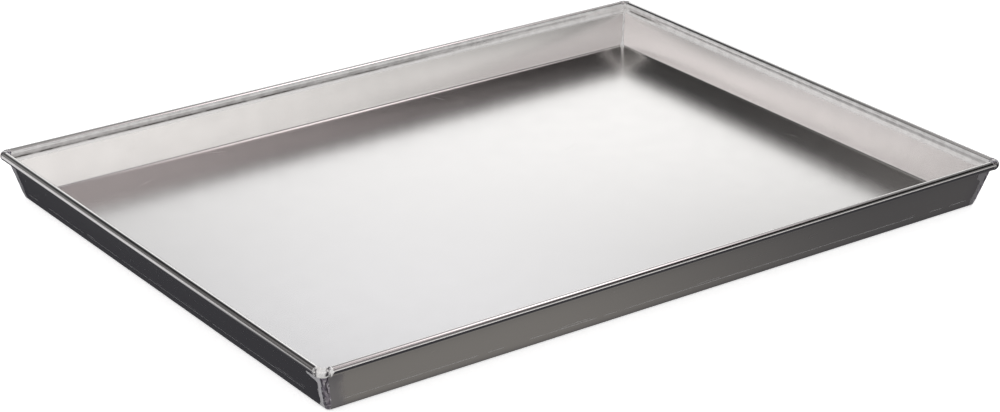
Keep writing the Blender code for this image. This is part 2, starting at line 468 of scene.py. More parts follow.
def elbow_point(corner, along, angle, radius):
    """A point so far along the rim's axis from the diagonal, and so far from it at an angle round it."""
    half_arc = ELBOW_AXIS_RADIUS * math.pi / 4
    on_round = min(half_arc, max(-half_arc, along))
    turn = math.pi / 4 + on_round / ELBOW_AXIS_RADIUS
    past = along - on_round
    shift = Vector((0, -past)) if past > 0 else Vector((past, 0))
    reach = ELBOW_AXIS_RADIUS + radius * math.cos(angle)
    flat = Vector((ELBOW_CENTRE, ELBOW_CENTRE)) + reach * Vector((math.sin(turn), math.cos(turn))) + shift
    flat = Vector((min(flat.x, RIM_REACH), min(flat.y, RIM_REACH)))
    return corner_point(corner, flat, min(RIM_AXIS_HEIGHT + radius * math.sin(angle), HEIGHT))


def elbow_radius(along, angle, sleeve, weld):
    """How far the weld metal of a rim corner reaches from the rim's axis."""
    half_arc = ELBOW_AXIS_RADIUS * math.pi / 4
    place = Vector((along, math.cos(angle) * RIM_RADIUS, math.sin(angle) * RIM_RADIUS))
    past = abs(along) - half_arc
    lumps = weld["lump"] * wave(place, ELBOW_LUMP_SIZE, weld["seed"])
    inner_top = max(0, math.cos(angle - ELBOW_NOTCH_ANGLE))
    notch = weld["notch"] * inner_top * math.exp(-(along / ELBOW_NOTCH_WIDTH) ** 2)
    slant = ELBOW_GROOVE_SLANT * math.cos(angle + weld["seed"])
    groove = weld["groove"] * math.exp(-((past + slant) / ELBOW_GROOVE_WIDTH) ** 2)
    rim_skin = RIM_RADIUS - RIM_SLACK
    fade = smooth_share(past, 0, sleeve)
    proud = (RIM_RADIUS + lumps - rim_skin) * (1 - fade) - ELBOW_END_SINK * fade
    return rim_skin + proud - notch - groove * (1 - fade)


def elbow_core(bm, corner, along):
    """The closed end of a rim corner's weld, inside the hollow of the rim."""
    ring = []
    for side in range(ELBOW_SIDES):
        angle = 2 * math.pi * side / ELBOW_SIDES
        ring.append(bm.verts.new(elbow_point(corner, along, angle, ELBOW_CORE_RADIUS)))
    bm.faces.new(ring)
    return ring


def make_rim_elbow(name, corner, metal):
    """The weld metal that joins two rolled rims round their corner and laps onto both."""
    weld = CORNER_WELDS[name]
    half_arc = ELBOW_AXIS_RADIUS * math.pi / 4
    bm = bmesh.new()
    rings = []
    for step in range(ELBOW_RINGS + 1):
        share = 2 * step / ELBOW_RINGS - 1
        ring = []
        for side in range(ELBOW_SIDES):
            angle = 2 * math.pi * side / ELBOW_SIDES
            edge = Vector((math.cos(angle), math.sin(angle), weld["seed"]))
            sleeve = weld["sleeves"][0 if share > 0 else 1]
            sleeve *= 1 + SLEEVE_CHANGE * wave(edge, SLEEVE_WAVE, seed=8)
            along = share * (half_arc + sleeve)
            radius = elbow_radius(along, angle, sleeve, weld)
            ring.append(bm.verts.new(elbow_point(corner, along, angle, radius)))
        rings.append(ring)
    first_core, last_core = [elbow_core(bm, corner, end * half_arc) for end in (-1, 1)]
    join_rows(bm, [first_core, *rings, last_core], closed=True)
    return make_piece(f"rim_elbow_{name}", bm, [metal], [f"rim_weld_{name}"], math.radians(80))


# Materials: heights and depths of relief, and sizes of patterns, are in metres

SHEET_COLOUR = (0.815, 0.797, 0.782)
SHEET_DULL_COLOUR = (0.800, 0.782, 0.767)
SHEET_ROUGHNESS = 0.19
MOTTLE_SIZE = 0.03
CLOUD_SIZE = 0.012
GRAIN_WIDTH = 0.0004
GRAIN_STRETCH = 90  # times its width
GRAIN_HEIGHT = 0.0000014
SCRATCH_DEPTH = 0.000003
# Painted shade: a dark, blotchy line in the hollow under the rims, mostly along the back
CREASE_SHADE_COLOUR = (0.10, 0.09, 0.085)
CREASE_SHADE_HEIGHT = 0.0215
CREASE_SHADE_WIDTH = 0.0005
CREASE_SHADE_BLOTCH = 0.009
CREASE_SHADE_FADES = (-0.04, 0.16)  # along the back, towards the right
CREASE_SHADE_STARTS = (0.112, 0.135)  # along the left and right sides, towards the back
# Painted highlight: pale, chalky metal on the inner side of the rims
RIM_HIGHLIGHT_COLOUR = (0.93, 0.92, 0.91)
RIM_HIGHLIGHT_PALE = 0.8
RIM_HIGHLIGHT_PATCH = 0.006
RIM_HIGHLIGHT_OUT = (RIM_AXIS_OUT - 0.0020, RIM_AXIS_OUT - 0.0015)
RIM_HIGHLIGHT_UP = (CREASE_SHADE_HEIGHT - 0.0030, CREASE_SHADE_HEIGHT - 0.0012)
RIM_BURNISH = 0.08
RIM_BURNISH_PATCH = 0.005
RIM_BURNISH_UP = (CREASE_SHADE_HEIGHT - 0.0004, CREASE_SHADE_HEIGHT + 0.0010)
GROUND_COLOUR = (0.55, 0.54, 0.56)
GROUND_ROUGHNESS = 0.42
GROUND_GROOVE_PITCH = 0.00030
GROUND_GROOVE_DEPTH = 0.000020
GROUND_HOOK_UP = (0.0150, 0.0172)  # where a ground strip widens under the rim
EDGE_WOBBLE = 0.0007  # of the ground strips and of the cracks beside a seam
EDGE_WOBBLE_SIZE = 0.004
HEAT_REACH = (0.004, 0.014)  # from a corner's diagonal
SCRAPE_WIDTH = 0.0007
SCRAPE_STRETCH = 40
SCRAPE_DEPTH = 0.000004
HEAT_COLOUR = (0.62, 0.57, 0.65)
SCORCHED_COLOUR = (0.30, 0.28, 0.34)
SEAM_DARK_COLOUR = (0.20, 0.18, 0.24)
SOOT_COLOUR = (0.045, 0.04, 0.05)
BRIGHT_WELD_COLOUR = (0.90, 0.89, 0.88)
WIRE_COLOUR = (0.62, 0.60, 0.58)
MARK_COLOUR = (0.86, 0.86, 0.88)
DIE_MARK_HEIGHT = 0.0048  # of the line that the folding tool left on the outside of the walls
DIE_MARK_WIDTH = 0.00022
DIE_MARK_DEPTH = 0.00003
DIE_MARK_ENDS = (0.008, 0.011)  # from a corner's diagonal
SECOND_MARK_ABOVE = 0.0011
ROLL_MARK_HEIGHT = RIM_AXIS_HEIGHT + 0.0012  # of the rolling tool's line on the inner side of the rims
ROLL_MARK_WIDTH = 0.00016
ROLL_MARK_DEPTH = 0.00003
TOE_FROM_DIAGONAL = 0.0017  # of the cracks along both edges of an outside seam
SOOT_FROM_DIAGONAL = 0.0040  # of the soot where a rim corner's weld meets a rim
SOOT_WIDTH = 0.0010
SOOT_PATCH = 0.0016
WELD_PATCH = 0.0022
WELD_CRUST = 0.0006
WELD_PIT = 0.0009
SEAM_STREAK_WIDTH = 0.0009
SEAM_CRUST = 0.0007
SEAM_CRUST_HEIGHT = 0.00006
SEAM_DROP = 0.0016
SEAM_DROP_HEIGHT = 0.00010
SEAM_RUN_WIDTH = 0.0005
CRACK_WIDTH = 0.00035
CRACK_LENGTH = 0.003
CRACK_DEPTH = 0.00020
WIRE_LINE_WIDTH = 0.0003
WIRE_LINE_HEIGHT = 0.000006
WIRE_STAIN = 0.02

# Each family of scratches: width, how many times longer, and direction in radians
SCRATCHES = [(0.0005, 60, 0.35), (0.0004, 45, 1.9), (0.0006, 80, 2.75), (0.0005, 50, 1.2)]

# Where the walls are ground beside the corner welds: the corner, whether on its left or right wall, how far
# from the corner's diagonal, how much further under the rim, how soft the edge is, how fully ground and how
# pale the scratched metal is
GROUND_STRIPS = [
    ("front_left", True, 0.0058, 0.0085, 0.0005, 1.0, 0.95),
    ("front_left", False, 0.0085, 0.0010, 0.0026, 1.0, 0.06),
    ("front_right", True, 0.0046, 0.0030, 0.0010, 1.0, 0.20),
    ("front_right", False, 0.0046, 0.0040, 0.0007, 0.8, 0.20),
    ("back_right", True, 0.0060, 0.0030, 0.0012, 0.9, 0.20),
    ("back_right", False, 0.0052, 0.0050, 0.0008, 0.9, 0.25),
    ("back_left", True, 0.0052, 0.0014, 0.0007, 1.0, 0.38),
    ("back_left", False, 0.0055, 0.0040, 0.0010, 0.9, 0.25),
]


def blank_metal(name):
    """A new metal with its node tree, its shader and its object coordinates."""
    material = bpy.data.materials.new(name)
    material.use_nodes = True
    tree = material.node_tree
    shader = tree.nodes["Principled BSDF"]
    shader.inputs["Metallic"].default_value = 1
    return material, tree, shader, object_place(tree)


def object_place(tree):
    """Coordinates in the model's own frame."""
    return tree.nodes.new("ShaderNodeTexCoord").outputs["Object"]


def axes(tree, place):
    """The X, Y and Z of a place."""
    return linked_node(tree, "ShaderNodeSeparateXYZ", {}, {0: place}).outputs


def finish_metal(tree, shader, colour, roughness, height, pale=None):
    """Links a metal's colour, roughness and relief in metres, and how far it scatters light like chalk."""
    if pale is not None:
        tree.links.new(subtract(tree, 1.0, pale), shader.inputs["Metallic"])
    tree.links.new(colour, shader.inputs["Base Color"])
    tree.links.new(roughness, shader.inputs["Roughness"])
    bump = linked_node(tree, "ShaderNodeBump", {}, {"Height": height, "Distance": 1.0})
    tree.links.new(bump.outputs[0], shader.inputs["Normal"])


def linked_node(tree, kind, settings, inputs):
    """A node with its settings and inputs, each input a number, a colour or another node's output."""
    node = tree.nodes.new(kind)
    for name, value in settings.items():
        setattr(node, name, value)
    for name, value in inputs.items():
        if isinstance(value, bpy.types.NodeSocket):
            tree.links.new(value, node.inputs[name])
        else:
            node.inputs[name].default_value = value
    return node


def calculate(tree, operation, *values):
    return linked_node(tree, "ShaderNodeMath", {"operation": operation}, dict(enumerate(values))).outputs[0]


def add(tree, *values):
    total = values[0]
    for value in values[1:]:
        total = calculate(tree, "ADD", total, value)
    return total


def multiply(tree, *values):
    product = values[0]
    for value in values[1:]:
        product = calculate(tree, "MULTIPLY", product, value)
    return product


def subtract(tree, value, taken):
    return calculate(tree, "SUBTRACT", value, taken)


def vector_math(tree, operation, inputs):
    return linked_node(tree, "ShaderNodeVectorMath", {"operation": operation}, inputs).outputs[0]


def drawn_out(tree, place, x_scale, y_scale, z_scale):
    """Coordinates under which unevenness is drawn out along each axis that has a scale below 1."""
    return vector_math(tree, "MULTIPLY", {0: place, 1: (x_scale, y_scale, z_scale)})


def bell(tree, terms):
    """The exponential of minus the sum of (value / width) squared."""
    total = 0.0
    for value, width in terms:
        scaled = calculate(tree, "DIVIDE", value, width)
        total = calculate(tree, "MULTIPLY_ADD", scaled, scaled, total)
    return calculate(tree, "EXPONENT", multiply(tree, total, -1.0))


def smooth_range(tree, value, start, end, low=0.0, high=1.0):
    """The low number before the start and the high one after the end, with a smooth change between them."""
    settings = {"interpolation_type": "SMOOTHSTEP"}
    inputs = {"Value": value, "From Min": start, "From Max": end, "To Min": low, "To Max": high}
    return linked_node(tree, "ShaderNodeMapRange", settings, inputs).outputs[0]


def spread(tree, amount, low, high):
    """Unevenness, most of which lies between 0.3 and 0.7, made to run from one number to another."""
    return smooth_range(tree, amount, 0.3, 0.7, low, high)


def edge_wobble(tree, place, detail):
    """How far an edge wanders to either side here."""
    return spread(tree, unevenness(tree, place, EDGE_WOBBLE_SIZE, detail), -EDGE_WOBBLE, EDGE_WOBBLE)


def blend(tree, share, low, high):
    """A colour between two others."""
    inputs = {0: share, 6: (*low, 1) if isinstance(low, tuple) else low, 7: (*high, 1)}
    return linked_node(tree, "ShaderNodeMix", {"data_type": "RGBA"}, inputs).outputs[2]


def unevenness(tree, place, size, detail=2.0):
    """Noise between 0 and 1 with lumps of about this size."""
    inputs = {"Vector": place, "Scale": 1 / size, "Detail": detail}
    return linked_node(tree, "ShaderNodeTexNoise", {}, inputs).outputs[0]


def streaks(tree, place, width, stretch, turn=0.0):
    """Unevenness drawn out along the sheet: its width, how many times longer it is and its direction."""
    inputs = {"Vector": place, "Angle": turn}
    turned = linked_node(tree, "ShaderNodeVectorRotate", {"rotation_type": "Z_AXIS"}, inputs).outputs[0]
    return unevenness(tree, drawn_out(tree, turned, 1 / stretch, 1.0, 1.0), width, detail=3.0)


def scratches(tree, place):
    """Sparse fine scratches in a few directions, between 0 and 1."""
    total = 0.0
    for width, stretch, turn in SCRATCHES:
        line = smooth_range(tree, streaks(tree, place, width, stretch, turn), 0.70, 0.80)
        total = calculate(tree, "MAXIMUM", line, total)
    return total


def line_mark(tree, z, height, width, place, dash, gap):
    """A thin broken line at one height, between 0 and 1."""
    line = bell(tree, [(subtract(tree, z, height), width)])
    broken = smooth_range(tree, unevenness(tree, place, dash, detail=1.0), gap, gap + 0.08)
    return multiply(tree, line, broken)


def rolled_sheet(tree, place):
    """Colour, roughness and relief of the plain sheet, with its mottle, scratches and rolling lines."""
    mottle = unevenness(tree, place, MOTTLE_SIZE, detail=4.0)
    cloud = unevenness(tree, place, CLOUD_SIZE, detail=3.0)
    grain = streaks(tree, place, GRAIN_WIDTH, GRAIN_STRETCH)
    lines = scratches(tree, place)
    colour = blend(tree, mottle, SHEET_DULL_COLOUR, SHEET_COLOUR)
    roughness = add(
        tree,
        spread(tree, cloud, SHEET_ROUGHNESS - 0.005, SHEET_ROUGHNESS + 0.007),
        multiply(tree, grain, 0.02),
        multiply(tree, lines, 0.08),
    )
    relief = add(tree, multiply(tree, grain, GRAIN_HEIGHT), multiply(tree, lines, -SCRATCH_DEPTH))
    return colour, roughness, relief


def beyond_the_base(tree, x, y):
    """How far a place lies out from the edge of the base."""
    past_the_ends = subtract(tree, calculate(tree, "ABSOLUTE", x), BASE_LENGTH / 2)
    past_the_sides = subtract(tree, calculate(tree, "ABSOLUTE", y), BASE_WIDTH / 2)
    return calculate(tree, "MAXIMUM", past_the_ends, past_the_sides)


def crease_shade(tree, place):
    """Dark blotches of painted shade in the hollow under the back rim, most at its left, and at the back of
    the side rims.
    """
    x, y, z = axes(tree, place)
    line = bell(tree, [(subtract(tree, z, CREASE_SHADE_HEIGHT), CREASE_SHADE_WIDTH)])
    on_the_wall = calculate(tree, "LESS_THAN", beyond_the_base(tree, x, y), RIM_AXIS_OUT - ROLL_RADIUS)
    at_the_back = calculate(tree, "GREATER_THAN", y, BASE_WIDTH / 2)
    along_the_back = multiply(tree, at_the_back, smooth_range(tree, x, *CREASE_SHADE_FADES, 1.0, 0.1))
    along_the_sides = smooth_range(tree, y, *CREASE_SHADE_STARTS)
    along_the_sides = multiply(tree, along_the_sides, subtract(tree, 1.0, at_the_back))
    amount = calculate(tree, "MAXIMUM", along_the_back, along_the_sides)
    blotches = unevenness(tree, place, CREASE_SHADE_BLOTCH, detail=3.0)
    blotches = smooth_range(tree, blotches, 0.36, 0.60, 0.6, 1.0)
    return multiply(tree, line, on_the_wall, amount, blotches)


def inside_metal(name):
    """The sheet's face towards the tray's inside, which is also the skin of the rolled rims."""
    material, tree, shader, place = blank_metal(name)
    x, y, z = axes(tree, place)
    colour, roughness, relief = rolled_sheet(tree, place)
    inner_side = calculate(tree, "LESS_THAN", beyond_the_base(tree, x, y), RIM_AXIS_OUT)
    mark = line_mark(tree, z, ROLL_MARK_HEIGHT, ROLL_MARK_WIDTH, place, 0.006, 0.44)
    mark = multiply(tree, mark, inner_side)
    # painted shade in the hollow under the rims
    stain_and_shade = crease_shade(tree, place)
    # a painted highlight on the inner side of the rims
    rim_highlight = painted_rim_highlight(tree, place, x, y, z, stain_and_shade)
    on_the_rim = smooth_range(tree, z, *RIM_BURNISH_UP)
    worn = unevenness(tree, place, RIM_BURNISH_PATCH, detail=3.0)
    burnish = spread(tree, worn, RIM_BURNISH, 0.6 * RIM_BURNISH)
    colour = blend(tree, multiply(tree, mark, 0.6), colour, SCORCHED_COLOUR)
    colour = blend(tree, rim_highlight, colour, RIM_HIGHLIGHT_COLOUR)
    colour = blend(tree, stain_and_shade, colour, CREASE_SHADE_COLOUR)
    roughness = add(
        tree,
        roughness,
        multiply(tree, on_the_rim, burnish, -1.0),
        multiply(tree, mark, 0.1),
        multiply(tree, stain_and_shade, 0.3),
    )
    relief = calculate(tree, "MULTIPLY_ADD", mark, -ROLL_MARK_DEPTH, relief)
    finish_metal(tree, shader, colour, roughness, relief, multiply(tree, rim_highlight, RIM_HIGHLIGHT_PALE))
    return material


def painted_rim_highlight(tree, place, x, y, z, stain_and_shade):
    """How much pale, chalky metal is painted on the inner side of the rims as a highlight, where no painted
    crease shade covers it.
    """
    facing_in = smooth_range(tree, beyond_the_base(tree, x, y), *RIM_HIGHLIGHT_OUT, 1.0, 0.0)
    upper = smooth_range(tree, z, *RIM_HIGHLIGHT_UP)
    patchy = spread(tree, unevenness(tree, place, RIM_HIGHLIGHT_PATCH, detail=3.0), 0.75, 1.0)
    return multiply(tree, facing_in, upper, patchy, subtract(tree, 1.0, stain_and_shade))


def from_the_diagonal(tree, x, y):
    """How much further a place lies out along X than along Y, measured from the corner's diagonal."""
    across = subtract(tree, calculate(tree, "ABSOLUTE", x), calculate(tree, "ABSOLUTE", y))
    return subtract(tree, across, (BASE_LENGTH - BASE_WIDTH) / 2)


def ground_shares(tree, place, x, y, z):
    """How fully the outside of a wall was ground beside a corner weld here, and how pale that left it."""
    across = from_the_diagonal(tree, x, y)
    from_corner = calculate(tree, "ABSOLUTE", across)
    up_the_wall = smooth_range(tree, z, *GROUND_HOOK_UP)
    wobble = edge_wobble(tree, place, detail=3.0)
    ground = 0.0
    pale = 0.0
    for corner_name, side_wall, width, hook, soft, share, paleness in GROUND_STRIPS:
        corner = CORNERS[corner_name]
        here = calculate(tree, "GREATER_THAN", multiply(tree, x, float(corner.x)), 0.0)
        beside = calculate(tree, "GREATER_THAN", multiply(tree, y, float(corner.y)), 0.0)
        on_wall = calculate(tree, "GREATER_THAN" if side_wall else "LESS_THAN", across, 0.0)
        reach = add(tree, calculate(tree, "MULTIPLY_ADD", up_the_wall, hook, width), wobble)
        inside = smooth_range(tree, subtract(tree, from_corner, reach), -soft, soft, 1.0, 0.0)
        amount = multiply(tree, here, beside, on_wall, inside)
        ground = calculate(tree, "MULTIPLY_ADD", amount, share, ground)
        pale = calculate(tree, "MULTIPLY_ADD", amount, paleness, pale)
    return ground, pale


def outside_metal(name):
    """The sheet's outer face: ground beside the corner welds, with the folding tool's marks along it."""
    material, tree, shader, place = blank_metal(name)
    x, y, z = axes(tree, place)
    colour, roughness, relief = rolled_sheet(tree, place)
    ground, pale = ground_shares(tree, place, x, y, z)
    from_corner = calculate(tree, "ABSOLUTE", from_the_diagonal(tree, x, y))
    grooves = unevenness(tree, drawn_out(tree, place, 0.03, 0.03, 1.0), GROUND_GROOVE_PITCH)
    second_height = DIE_MARK_HEIGHT + SECOND_MARK_ABOVE
    first = line_mark(tree, z, DIE_MARK_HEIGHT, DIE_MARK_WIDTH, place, 0.014, 0.36)
    second = line_mark(tree, z, second_height, DIE_MARK_WIDTH * 0.7, place, 0.02, 0.58)
    marks = calculate(tree, "MAXIMUM", first, second)
    marks = multiply(tree, marks, smooth_range(tree, from_corner, *DIE_MARK_ENDS))
    scrapes = smooth_range(tree, streaks(tree, place, SCRAPE_WIDTH, SCRAPE_STRETCH), 0.66, 0.78)
    heat = smooth_range(tree, from_corner, *HEAT_REACH, 0.35, 0.0)
    colour = blend(tree, heat, colour, HEAT_COLOUR)
    colour = blend(tree, ground, colour, GROUND_COLOUR)
    colour = blend(tree, marks, colour, MARK_COLOUR)
    roughness = add(
        tree,
        roughness,
        multiply(tree, ground, GROUND_ROUGHNESS - SHEET_ROUGHNESS),
        multiply(tree, marks, 0.2),
        multiply(tree, scrapes, 0.10),
    )
    relief = add(
        tree,
        relief,
        multiply(tree, ground, grooves, GROUND_GROOVE_DEPTH),
        multiply(tree, marks, -DIE_MARK_DEPTH),
        multiply(tree, scrapes, -SCRAPE_DEPTH),
    )
    pale = calculate(tree, "MULTIPLY_ADD", marks, 0.15, pale)
    finish_metal(tree, shader, colour, roughness, relief, pale)
    return material


def weld_metal(name, low_colour, high_colour, roughness, relief, paleness):
    """Weld metal between two colours, with its own crust, and with soot where it meets the rims."""
    material, tree, shader, place = blank_metal(name)
    x, y, _ = axes(tree, place)
    from_corner = calculate(tree, "ABSOLUTE", from_the_diagonal(tree, x, y))
    soot = bell(tree, [(subtract(tree, from_corner, SOOT_FROM_DIAGONAL), SOOT_WIDTH)])
    sooty = smooth_range(tree, unevenness(tree, place, SOOT_PATCH, detail=3.0), 0.40, 0.54)
    soot = multiply(tree, soot, sooty)
    patches = smooth_range(tree, unevenness(tree, place, WELD_PATCH, detail=3.0), 0.35, 0.6)
    crust = unevenness(tree, place, WELD_CRUST, detail=3.0)
    pits = smooth_range(tree, unevenness(tree, place, WELD_PIT, detail=1.0), 0.66, 0.74)
    colour = blend(tree, patches, low_colour, high_colour)
    colour = blend(tree, multiply(tree, pits, 0.7), colour, SCORCHED_COLOUR)
    colour = blend(tree, soot, colour, SOOT_COLOUR)
    rough = add(tree, spread(tree, crust, roughness - 0.07, roughness + 0.09), multiply(tree, pits, 0.2))
    height = multiply(tree, subtract(tree, crust, pits), relief)
    unpitted = smooth_range(tree, pits, 0.0, 1.0, 1.0, 0.2)
    pale = multiply(tree, unpitted, subtract(tree, 1.0, soot), paleness)
    finish_metal(tree, shader, colour, rough, height, pale)
    return material


def outside_seam(name):
    """The scorched weld down the outside of a wall corner, with streaks, cracks at its edges and drops."""
    material, tree, shader, place = blank_metal(name)
    x, y, _ = axes(tree, place)
    downward = drawn_out(tree, place, 1.0, 1.0, 0.22)
    tone = smooth_range(tree, unevenness(tree, downward, SEAM_STREAK_WIDTH, detail=3.0), 0.34, 0.62)
    crust = unevenness(tree, place, SEAM_CRUST, detail=3.0)
    from_corner = calculate(tree, "ABSOLUTE", from_the_diagonal(tree, x, y))
    from_toe = subtract(tree, from_corner, TOE_FROM_DIAGONAL)
    crack = bell(tree, [(add(tree, from_toe, edge_wobble(tree, place, detail=2.0)), CRACK_WIDTH)])
    cracked = smooth_range(tree, unevenness(tree, downward, CRACK_LENGTH), 0.42, 0.56)
    crack = multiply(tree, crack, cracked)
    drops = smooth_range(tree, unevenness(tree, place, SEAM_DROP, detail=1.0), 0.62, 0.70)
    runs = unevenness(tree, drawn_out(tree, place, 1.0, 1.0, 0.09), SEAM_RUN_WIDTH, detail=1.0)
    runs = smooth_range(tree, runs, 0.62, 0.72)
    drops = calculate(tree, "MAXIMUM", drops, multiply(tree, runs, 0.8))
    colour = blend(tree, tone, SEAM_DARK_COLOUR, HEAT_COLOUR)
    colour = blend(tree, drops, colour, BRIGHT_WELD_COLOUR)
    colour = blend(tree, crack, colour, SOOT_COLOUR)
    roughness = spread(tree, crust, 0.30, 0.50)
    relief = add(
        tree,
        multiply(tree, crust, SEAM_CRUST_HEIGHT),
        multiply(tree, drops, SEAM_DROP_HEIGHT),
        multiply(tree, crack, -CRACK_DEPTH),
    )
    pale = calculate(tree, "MULTIPLY_ADD", drops, 0.5, 0.2)
    finish_metal(tree, shader, colour, roughness, relief, pale)
    return material


def drawn_wire(name):
    """Wire with the fine lines of its drawing along it and a little dull staining."""
    material, tree, shader, place = blank_metal(name)
    lines = unevenness(tree, drawn_out(tree, place, 0.02, 0.02, 1.0), WIRE_LINE_WIDTH, detail=3.0)
    stain_and_shade = unevenness(tree, place, WIRE_STAIN, detail=3.0)
    colour = blend(tree, stain_and_shade, WIRE_COLOUR, SHEET_DULL_COLOUR)
    roughness = add(tree, spread(tree, stain_and_shade, 0.26, 0.36), multiply(tree, lines, 0.06))
    finish_metal(tree, shader, colour, roughness, multiply(tree, lines, WIRE_LINE_HEIGHT))
    return material


# Stage

# Colours of the light
COOL_LIGHT = (0.98, 0.995, 1.04)
WHITE_LIGHT = (0.995, 1.0, 1.0)
WARM_LIGHT = (1.017, 1.0, 0.987)
ROSY_LIGHT = (1.025, 0.995, 1.012)
PINK_LIGHT = (1.07, 0.985, 1.01)

# Soft patches of the light dome: azimuth from the back towards the right, elevation, half width and half
# height in degrees, strength and colour
SOFT_LIGHTS = {
    "back right panel": (47, 19, 62, 6.3, 1.38, WHITE_LIGHT),
    "back right horizon": (37, 6, 50, 5.5, 1.60, WHITE_LIGHT),
    "upper back fill": (27, 30, 18, 5.5, 0.95, COOL_LIGHT),
    "upper right fill": (42, 29.5, 12, 3.5, 0.40, COOL_LIGHT),
    "back high fill": (58, 43, 26, 8, 0.60, WHITE_LIGHT),
    "front left panel": (242, 17, 27, 12, 1.70, ROSY_LIGHT),
    "upper left fill": (252, 38, 34, 11, 1.30, ROSY_LIGHT),
    "left high fill": (300, 40, 22, 10, 0.85, ROSY_LIGHT),
    "left horizon": (321, 0, 18, 5.5, 1.00, ROSY_LIGHT),
    "low front panel": (161, 6, 36, 4.5, 1.42, WARM_LIGHT),
    "front panel": (184, 23, 22, 12, 1.30, ROSY_LIGHT),
    "front high fill": (155, 51, 12, 7, 0.95, PINK_LIGHT),
    "overhead strip": (96, 60, 30, 8, 2.35, PINK_LIGHT),
    "overhead back": (10, 58, 40, 9, 0.50, WARM_LIGHT),
    "ceiling": (0, 90, 600, 16, 0.85, WHITE_LIGHT),
}
DOME_RADIUS = 1.3
TABLE_RADIUS = 1.15
FLOOR_RADIUS = 9.0
FLOOR_DEPTH = 0.0003  # below the tray's base
TABLE_DEPTH = 0.00015
FLOOR_GLOW = 0.6  # of white, besides what the light adds
PLAIN_LEVEL = 0.9  # of the light that falls on pale metal and on the floor

# The table that the metal mirrors, and what glows on it: edges give where a glow starts, is full, starts to
# fade and ends, and every colour is multiplied by its glow
TABLE_COLOUR = (0.046, 0.046, 0.052)
FRONT_GLOW = 0.155
FRONT_GLOW_COLOUR = (1.055, 1.0, 0.90)
FRONT_GLOW_EDGES = (0.003, -0.004, -0.016, -0.024)  # along Y, from the front edge of the base
FRONT_GLOW_WEAKENS = (-0.10, 0.16)  # along X
LEFT_GLOW = 0.75
LEFT_GLOW_COLOUR = (1.0, 1.0, 1.02)
LEFT_GLOW_EDGES = (-0.020, -0.034)  # along X, from the left edge of the base
LEFT_GLOW_FADE = (-0.34, -0.5)
LEFT_GLOW_GROWS = (-0.10, 0.07)  # along Y
FAR_GLOW = 0.30
FAR_GLOW_COLOUR = (1.0, 1.0, 1.0)
FAR_GLOW_START = 0.55


def stage_object(name, bm, material):
    """An object round the tray that isn't part of it."""
    mesh = bpy.data.meshes.new(name)
    bm.to_mesh(mesh)
    bm.free()
    mesh.materials.append(material)
    stage = bpy.data.objects.new(name, mesh)
    bpy.context.scene.collection.objects.link(stage)
    return stage


def glow_material(name, colour, strength):
    """A material that only gives light, of a colour and strength worked out by nodes."""
    material = bpy.data.materials.new(name)
    material.use_nodes = True
    tree = material.node_tree
    tree.nodes.clear()
    glow = linked_node(tree, "ShaderNodeEmission", {}, {"Color": colour(tree), "Strength": strength})
    linked_node(tree, "ShaderNodeOutputMaterial", {}, {"Surface": glow.outputs[0]})
    return material


def add_glow(tree, total, amount, strength, colour):
    """The light so far, with one more glow of this amount here."""
    scaled = vector_math(tree, "SCALE", {0: colour, "Scale": amount})
    stronger = vector_math(tree, "SCALE", {0: scaled, "Scale": strength})
    return vector_math(tree, "ADD", {0: total, 1: stronger})


def dome_colour(tree):
    """The light that comes from each direction."""
    x, y, z = axes(tree, object_place(tree))
    azimuth = calculate(tree, "DEGREES", calculate(tree, "ARCTAN2", x, y))
    rise = calculate(tree, "DIVIDE", z, DOME_RADIUS)
    elevation = calculate(tree, "DEGREES", calculate(tree, "ARCSINE", rise))
    total = (0.0, 0.0, 0.0)
    for centre, level, half_width, half_height, strength, colour in SOFT_LIGHTS.values():
        sideways = calculate(tree, "WRAP", subtract(tree, azimuth, centre), 180.0, -180.0)
        upward = subtract(tree, elevation, level)
        amount = bell(tree, [(sideways, half_width), (upward, half_height)])
        total = add_glow(tree, total, amount, strength, colour)
    return total


def table_colour(tree):
    """The light that the table gives off, painted on it: dark, but grey brown close to the front, pale
    beyond the left side and lighter far away.
    """
    x, y, _ = axes(tree, object_place(tree))
    start, full, fade, end = [edge - BASE_WIDTH / 2 for edge in FRONT_GLOW_EDGES]
    in_front = multiply(
        tree,
        smooth_range(tree, y, start, full),
        smooth_range(tree, y, end, fade),
        smooth_range(tree, x, *FRONT_GLOW_WEAKENS, 1.0, 0.26),
    )
    start, full = [edge - BASE_LENGTH / 2 for edge in LEFT_GLOW_EDGES]
    fade, end = LEFT_GLOW_FADE
    beyond_left = multiply(
        tree,
        smooth_range(tree, x, start, full),
        smooth_range(tree, x, end, fade),
        smooth_range(tree, y, *LEFT_GLOW_GROWS, 0.03, 1.0),
    )
    squared = calculate(tree, "MULTIPLY_ADD", x, x, multiply(tree, y, y))
    far = smooth_range(tree, calculate(tree, "SQRT", squared), FAR_GLOW_START, TABLE_RADIUS)
    total = add_glow(tree, TABLE_COLOUR, in_front, FRONT_GLOW, FRONT_GLOW_COLOUR)
    total = add_glow(tree, total, beyond_left, LEFT_GLOW, LEFT_GLOW_COLOUR)
    return add_glow(tree, total, far, FAR_GLOW, FAR_GLOW_COLOUR)


def show_in_reflections_only(stage):
    stage.visible_camera = False
    stage.visible_diffuse = False
    stage.visible_shadow = False


def make_dome():
    """A dome of soft light round the tray, which shows only in reflections."""
    bm = bmesh.new()
    bmesh.ops.create_uvsphere(bm, u_segments=48, v_segments=32, radius=DOME_RADIUS)
    dome = stage_object("light_dome", bm, glow_material("dome_glow", dome_colour, 1.0))
    show_in_reflections_only(dome)


def make_table():
    """The grey table that the metal mirrors, just above the white floor. Only reflections show it."""
    bm = bmesh.new()
    bmesh.ops.create_circle(bm, cap_ends=True, segments=96, radius=TABLE_RADIUS)
    bmesh.ops.translate(bm, verts=bm.verts, vec=(0, 0, -TABLE_DEPTH))
    table = stage_object("mirrored_table", bm, glow_material("table_glow", table_colour, 1.0))
    show_in_reflections_only(table)
    table.visible_transmission = False


